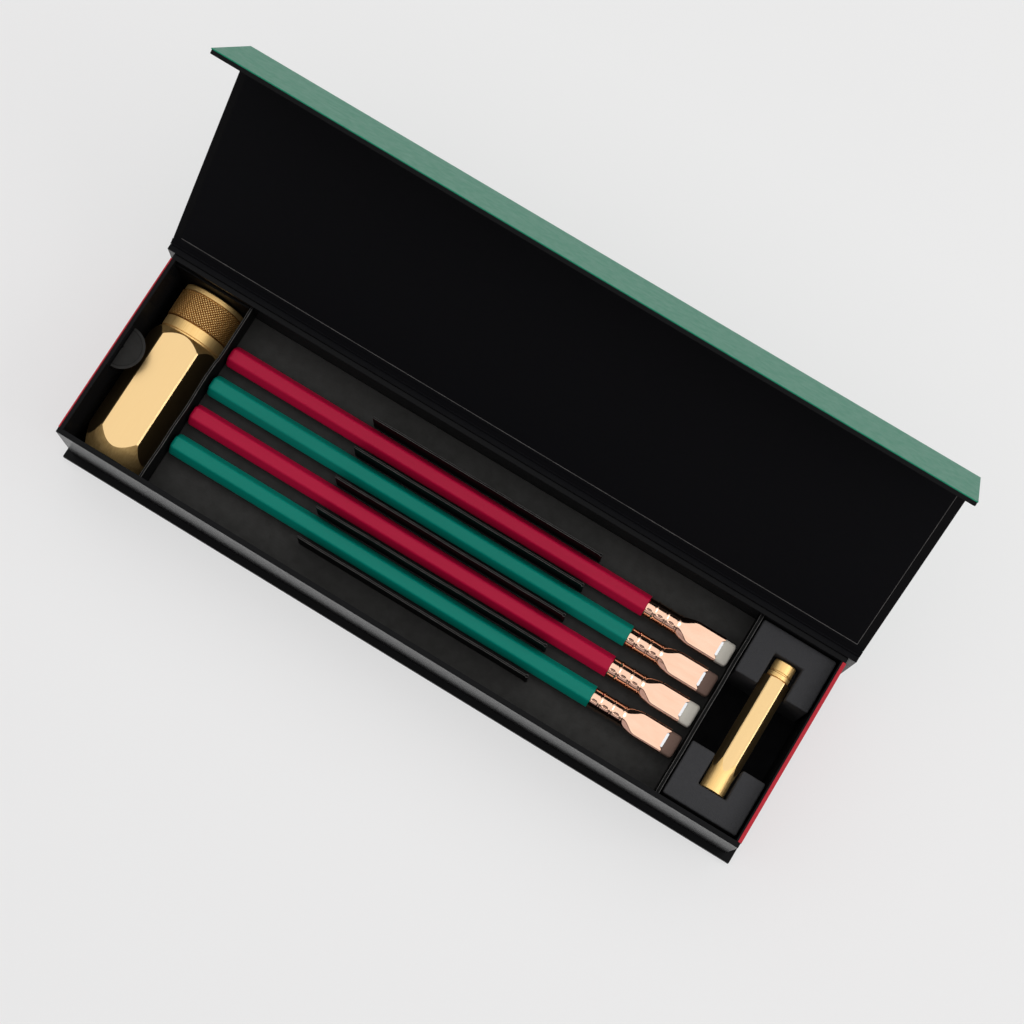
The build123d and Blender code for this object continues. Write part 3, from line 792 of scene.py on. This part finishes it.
def card_strip(name, path, stands_for, wave, seed):
    """Card standing on edge along a path of (x, y, half thickness), with its top edges rounded
    and a pale highlight painted on them. Wave lets it wander a little, as hand-set card does."""
    low, high, spacing = insert_floor, divider_top, 1.5
    fine = []
    for (x0, y0, t0), (x1, y1, t1) in zip(path, path[1:]):
        steps = max(1, int(sqrt((x1 - x0) ** 2 + (y1 - y0) ** 2) / spacing))
        for i in range(steps):
            share = i / steps
            fine.append((x0 + (x1 - x0) * share, y0 + (y1 - y0) * share, t0 + (t1 - t0) * share))
    fine.append(path[-1])
    dx, dy = path[-1][0] - path[0][0], path[-1][1] - path[0][1]
    run = sqrt(dx * dx + dy * dy)
    across = (-dy / run, dx / run)
    rings = []
    for x, y, half in fine:
        drift = wave * noise.noise(Vector((x * 0.09 + seed, y * 0.09, 0.3)))
        lift = 0.25 * wave * noise.noise(Vector((x * 0.13, y * 0.13 + seed, 1.7)))
        edge = min(0.22, half * 0.6)
        ring = []
        for side, up in card_section(half, low, high, edge, edge * 0.3):
            share = (up - low) / (high - low)
            side += drift * share
            up += lift if share > 0.5 else 0.0
            ring.append((x + across[0] * side, y + across[1] * side, up))
        rings.append(ring)
    points, faces = skin(rings)
    make_piece(
        name, points, faces, [card_coated, edge_highlight_paint], "root", stands_for, "insert_card",
        card_tints(rings), crease=50.0,
    )


card_strip(
    "left_divider_card",
    [(-102.95, -35.1, 0.5), (-102.95, 12.5, 0.5), (-102.75, 14.0, 0.5), (-102.75, 35.5, 0.5)],
    ("left_divider",), wave=0.35, seed=3.0,
)
card_strip(
    "right_divider_card", [(103.1, -35.1, 0.7), (103.1, 35.5, 0.7)],
    ("right_divider",), wave=0.12, seed=7.0,
)


def pencil_fins():
    """Five card fins that keep the pencils apart, each folded back on itself at one end."""
    fins, foot, top = 5, 25.0, 38.0
    path = [(-46.0, 0.25), (-45.8, 0.38)] + [(-45.8 + 90.6 * i / 30, 0.4) for i in range(1, 31)]
    path += [(45.0, 0.42), (45.25, 0.6), (45.5, 0.66), (45.75, 0.6), (46.0, 0.35)]
    points, faces, tints = [], [], []
    for index in range(fins):
        y = (index - 2) * pencil_pitch
        rings = []
        for x, half in path:
            drift = 0.12 * noise.noise(Vector((x * 0.07, index * 3.1, 0.5)))
            rings.append([
                (x, y + side + drift * (up - foot) / (top - foot), up)
                for side, up in card_section(half, foot, top, 0.2, 0.07)
            ])
        more, skins = skin(rings)
        base = len(points)
        points += more
        faces += [tuple(base + i for i in face) for face in skins]
        tints += card_tints(rings)
    # The fins' rounded top edges take the pale painted edge highlight.
    make_piece(
        "pencil_fin_cards", points, faces, [card_coated, edge_highlight_paint], "root", ("pencil_fins",),
        "insert_card", tints, crease=50.0,
    )


pencil_fins()


def half_moon():
    """Half-moon pull tab with a line raised along its curve. The line's inner slope is given the
    blacker coated card as painted shade, so it reads as a thin dark arc."""
    fold_x, middle, top, thickness, steps = -133.355, 0.6, 35.5, 0.3, 48
    face = top - 0.1
    profile = [(0.4, 0.0), (6.7, 0.0), (6.85, 0.09), (7.0, 0.09), (7.1, 0.0), (7.8, 0.0), (7.9, -0.05)]
    inner_slope = 1
    section = [(r, face + lift) for r, lift in profile]
    section += [(7.9, top - thickness), (0.4, top - thickness)]
    rings = []
    for i in range(steps + 1):
        angle = -pi / 2 + pi * i / steps
        rings.append([(fold_x + r * cos(angle), middle + r * sin(angle), z) for r, z in section])
    points, faces = skin(rings)
    tints = [1 if k == inner_slope else 0 for _ in range(steps) for k in range(len(section))] + [0, 0]
    make_piece(
        "half_moon_pull", points, faces, [card_black, card_coated], "tab", ("half_moon_tab",),
        "insert_card", tints, crease=40.0,
    )


half_moon()


# Foam

def notched_foam(name, near, far, notch_end, stands_for):
    """A foam block with the notch that holds one end of the point guard, its cut edges soft."""
    left, right, bottom, top, notch_floor = 104.45, 133.05, insert_floor, 35.5, 25.2
    notch_left, notch_right = guard_x - 5.446, guard_x + 5.446
    points = [
        (left, near, bottom), (right, near, bottom), (right, far, bottom), (left, far, bottom),
        (left, near, top), (right, near, top), (right, far, top), (left, far, top),
        (notch_left, near, top), (notch_right, near, top),
        (notch_left, near, notch_floor), (notch_right, near, notch_floor),
        (notch_left, notch_end, top), (notch_right, notch_end, top),
        (notch_left, notch_end, notch_floor), (notch_right, notch_end, notch_floor),
    ]
    faces = [
        (0, 1, 2, 3), (1, 2, 6, 5), (2, 3, 7, 6), (3, 0, 4, 7),
        (0, 1, 5, 9, 11, 10, 8, 4), (4, 8, 12, 13, 9, 5, 6, 7),
        (8, 10, 14, 12), (9, 11, 15, 13), (12, 14, 15, 13), (10, 11, 15, 14),
    ]
    piece = make_piece(name, points, faces, [foam_grey], "root", stands_for, "foam", crease=30.0)
    soften(piece, 0.7, 4)


notched_foam("rear_foam_block", 14.7, 35.1, 26.9, ("foam_rear",))
notched_foam("front_foam_block", -13.2, -33.6, -24.9, ("foam_front",))


# Lid and flap

# The open lid rises 42.6 degrees from level, and the flap is folded 74.1 degrees further.
hinge_y, hinge_z = 39.8, 40.7
lid_turn = radians(42.6)
flap_turn = radians(116.7)
case_left, case_right = -138.205, 138.2
fold_y, fold_z = 99.710, 93.073
lining_inset = 3.0


def on_lid(along, out):
    """(y, z) of a point along the lid from its hinge and out of its inner face."""
    return (hinge_y + along * cos(lid_turn) - out * sin(lid_turn),
            hinge_z + along * sin(lid_turn) + out * cos(lid_turn))


def on_flap(along, inward):
    """(y, z) of a point along the flap from its fold and in from its outer face."""
    return (fold_y + along * cos(flap_turn) - inward * sin(flap_turn),
            fold_z + along * sin(flap_turn) + inward * cos(flap_turn))


def glued_sheet(name, place, along, depth, body, stands_for, pale=(0.0, 0.0, 0.0, 0.0)):
    """A lining sheet glued inside a board, with a painted highlight as a pale line along its edge,
    of a width given for the side nearest the hinge, the right, the far side and the left."""
    low, high = depth
    x0, x1, (a0, a1) = case_left + lining_inset, case_right - lining_inset, along
    widths = [width or 0.02 for width in pale]
    outline = [(x0, a0), (x1, a0), (x1, a1), (x0, a1)]
    inner = [
        (x0 + widths[3], a0 + widths[0]), (x1 - widths[1], a0 + widths[0]),
        (x1 - widths[1], a1 - widths[2]), (x0 + widths[3], a1 - widths[2]),
    ]
    points = [(x, *place(a, low)) for x, a in outline] + [(x, *place(a, high)) for x, a in outline]
    points += [(x, *place(a, high)) for x, a in inner]
    faces = [(0, 1, 2, 3), (8, 9, 10, 11)]
    tints = [0, 0]
    for i in range(4):
        j = (i + 1) % 4
        faces += [(i, j, 4 + j, 4 + i), (4 + i, 4 + j, 8 + j, 8 + i)]
        tints += [0, 1 if pale[i] else 0]
    make_piece(
        name, points, faces, [lining_black, edge_highlight_paint], body, stands_for, "black_lining", tints,
        crease=5.0,
    )


# The pale lines on the hinge side and the right are painted highlight.
glued_sheet(
    "lid_lining_sheet", on_lid, (3.5, 75.75), (-0.2, 0.0), "lid", ("lid_lining",),
    pale=(0.26, 0.2, 0.0, 0.0),
)
glued_sheet("flap_lining_sheet", on_flap, (3.6, 35.9), (1.8, 2.0), "flap", ("flap_lining",))


def green_lip():
    """The green paper of the flap, turned a little way over the board's free edge."""
    section = [(37.6, 0.0), (38.78, 0.0), (38.9, 0.05), (38.94, 0.14), (38.94, 0.34), (37.6, 0.34)]
    steps = 40
    rings = []
    for i in range(steps + 1):
        x = case_left + (case_right - case_left) * i / steps
        rings.append([(x, *on_flap(along, inward)) for along, inward in section])
    points, faces = skin(rings)
    make_piece("flap_green_lip", points, faces, [book_green], "flap", (), "green_paper", crease=50.0)


green_lip()


def ribbon(name, path, thickness, finish, slot, inset):
    """A strip of paper running the length of the box, bent along a path of (y, z) points."""
    count = len(path)
    offset = []
    for k in range(count):
        before, after = path[max(0, k - 1)], path[min(count - 1, k + 1)]
        dy, dz = after[0] - before[0], after[1] - before[1]
        size = sqrt(dy * dy + dz * dz)
        offset.append((path[k][0] - dz / size * thickness, path[k][1] + dy / size * thickness))
    loop = list(path) + offset[::-1]
    steps = 60
    start, end = case_left + inset, case_right - inset
    rings = []
    for i in range(steps + 1):
        x = start + (end - start) * i / steps
        rings.append([(x, y, z) for y, z in loop])
    points, faces = skin(rings)
    return make_piece(name, points, faces, [finish], None, (), slot, crease=40.0)


def joint(name, path, thickness, finish, slot, stands_for=(), inset=0.0):
    """A paper joint between the two boards it is glued to, fixed where it is drawn."""
    strip = ribbon(name, path, thickness, finish, slot, inset)
    if stands_for:
        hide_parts(*stands_for)
    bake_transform(strip)


joint(
    "lid_joint_lining",
    [(37.5, 40.42), (38.7, 40.46), (39.35, 40.4), (39.8, 40.1), (40.35, 40.15), (40.8, 40.75),
     on_lid(1.7, -0.25), on_lid(2.2, -0.03), on_lid(2.8, -0.1), on_lid(3.45, -0.14)],
    0.14, lining_black, "black_lining",
    inset=0.4,
)
joint(
    "lid_joint_cover",
    [on_lid(3.4, -2.02), on_lid(2.2, -2.03), on_lid(1.6, -2.0), (41.5, 40.2), (40.8, 40.15),
     (40.2, 40.0), (39.84, 39.4), (39.84, 38.2)],
    0.14, book_green, "green_paper",
)
joint(
    "flap_fold_cover",
    [on_flap(1.4, 0.13), on_flap(0.5, 0.12), on_flap(0.2, 0.14), on_lid(79.3, -1.84),
     on_lid(78.9, -1.9), on_lid(78.2, -1.9)],
    0.12, book_green, "green_paper",
    stands_for=("flap_hinge_paper",),
)
joint(
    "flap_fold_lining",
    [on_flap(3.8, 1.84), on_flap(2.6, 1.98), on_flap(2.0, 1.9), on_lid(77.9, 0.2), on_lid(77.5, -0.1),
     on_lid(76.9, -0.04), on_lid(75.6, -0.16)],
    0.1, lining_black, "black_lining",
    inset=0.4,
)


# Boards and papers of the CAD

dress(["base_board", "tray_front_wall", "tray_rear_wall", "tray_left_wall", "tray_right_wall",
       "spine_board"], book_black, 0.3)
dress(["lid_board", "flap_board"], book_black, 0.35)
dress(["base_cover_paper"], book_black)
dress(["tray_front_paper"], book_black, 0.08)
dress(["lid_hinge_paper"], lining_black)
dress(["lid_cover_paper", "flap_cover_paper", "spine_cover_paper"], book_green, 0.08)
dress(["tray_left_paper", "tray_right_paper"], book_red, 0.08)
dress(["tray_floor"], grey_board)
dress(["tray_floor_paper"], lining_black)
dress(["pencil_platform"], card_black, 0.3)
dress(["left_bay_panel"], card_coated, 0.25)
dress(["tab_strip"], card_coated, 0.1)
dress(["flap_magnets"], magnet_nickel)
dress(["catch_plates"], blade_steel)
dress(["sharpener_insert"], brass_turned)
dress(["sharpener_blade", "sharpener_blade_screw"], blade_steel)
dress([f"pencil_{number}_core" for number in range(1, 5)], graphite)


# Floor, light and camera

def pale_floor():
    """A pale painted studio floor with the faintest mottle. Part of its paleness is its own
    glow, so that the object's shadow on it stays light."""
    reach, glow_share = 4.0, 0.62
    material, tree, shader = surface("rolled_white_floor_paint", IOR=1.4, Specular_IOR_Level=0.1)
    mottle = spread(tree, 60.0)
    tint(tree, shader, mottle, "#d8d7d7", "#d6d5d5")
    polish(tree, shader, mottle, 0.8, 0.9)
    path = add_node(tree, "ShaderNodeLightPath")
    seen = add_node(tree, "ShaderNodeMath", {"operation": "MAXIMUM"}, {
        0: path.outputs["Is Camera Ray"], 1: path.outputs["Is Glossy Ray"],
    })
    seen = add_node(tree, "ShaderNodeMath", {"operation": "MAXIMUM"}, {
        0: seen.outputs[0], 1: path.outputs["Is Transmission Ray"],
    })
    share = add_node(tree, "ShaderNodeMath", {"operation": "MULTIPLY"}, {
        0: seen.outputs[0], 1: glow_share,
    })
    glow = add_node(tree, "ShaderNodeEmission", {}, {"Color": ink("#f5f5f5"), "Strength": 1.0})
    both = add_node(tree, "ShaderNodeMixShader", {}, {
        0: share.outputs[0], 1: shader.outputs["BSDF"], 2: glow.outputs["Emission"],
    })
    tree.links.new(both.outputs["Shader"], tree.nodes["Material Output"].inputs["Surface"])
    mesh = bpy.data.meshes.new("studio_floor")
    corners = [(-reach, -reach, 0), (reach, -reach, 0), (reach, reach, 0), (-reach, reach, 0)]
    mesh.from_pydata(corners, [], [(0, 1, 2, 3)])
    mesh.materials.append(material)
    ground = bpy.data.objects.new("studio_floor", mesh)
    scene.collection.objects.link(ground)


def softbox(name, place, aim, size, power, colour="#ffffff"):
    """A rectangular soft light facing a point."""
    lamp = bpy.data.lights.new(name, "AREA")
    lamp.shape = "RECTANGLE"
    lamp.size, lamp.size_y = size
    lamp.energy = power
    lamp.color = ink(colour)[:3]
    holder = bpy.data.objects.new(name, lamp)
    holder.location = place
    holder.rotation_euler = (Vector(aim) - Vector(place)).to_track_quat("-Z", "Y").to_euler()
    holder.visible_camera = False
    scene.collection.objects.link(holder)


pale_floor()
softbox("overhead_softbox", (0.2, 0.45, 1.25), (0.2, 0.45, 0.0), (4.4, 2.6), 42.0)
softbox("right_window", (1.55, 0.3, 1.1), (0.0, 0.05, 0.0), (1.0, 1.1), 9.0)
softbox("front_softbox", (0.0, -1.6, 1.0), (0.0, 0.0, 0.0), (2.6, 0.6), 2.6, "#f6e8f0")

world = bpy.data.worlds.new("dim_studio")
scene.world = world
world.use_nodes = True
background = world.node_tree.nodes["Background"]
background.inputs["Color"].default_value = ink("#ffffff")
background.inputs["Strength"].default_value = 0.1

lens = bpy.data.cameras.new("photo_camera")
lens.sensor_width = 36.0
lens.lens = 81.36
camera = bpy.data.objects.new("photo_camera", lens)
camera.location = (0.07322, -0.11661, 0.81429)
camera.rotation_mode = "YXZ"
camera.rotation_euler = (0.1901, -0.0254, 0.5522)
scene.collection.objects.link(camera)
scene.camera = camera
scene.view_settings.view_transform = "Standard"
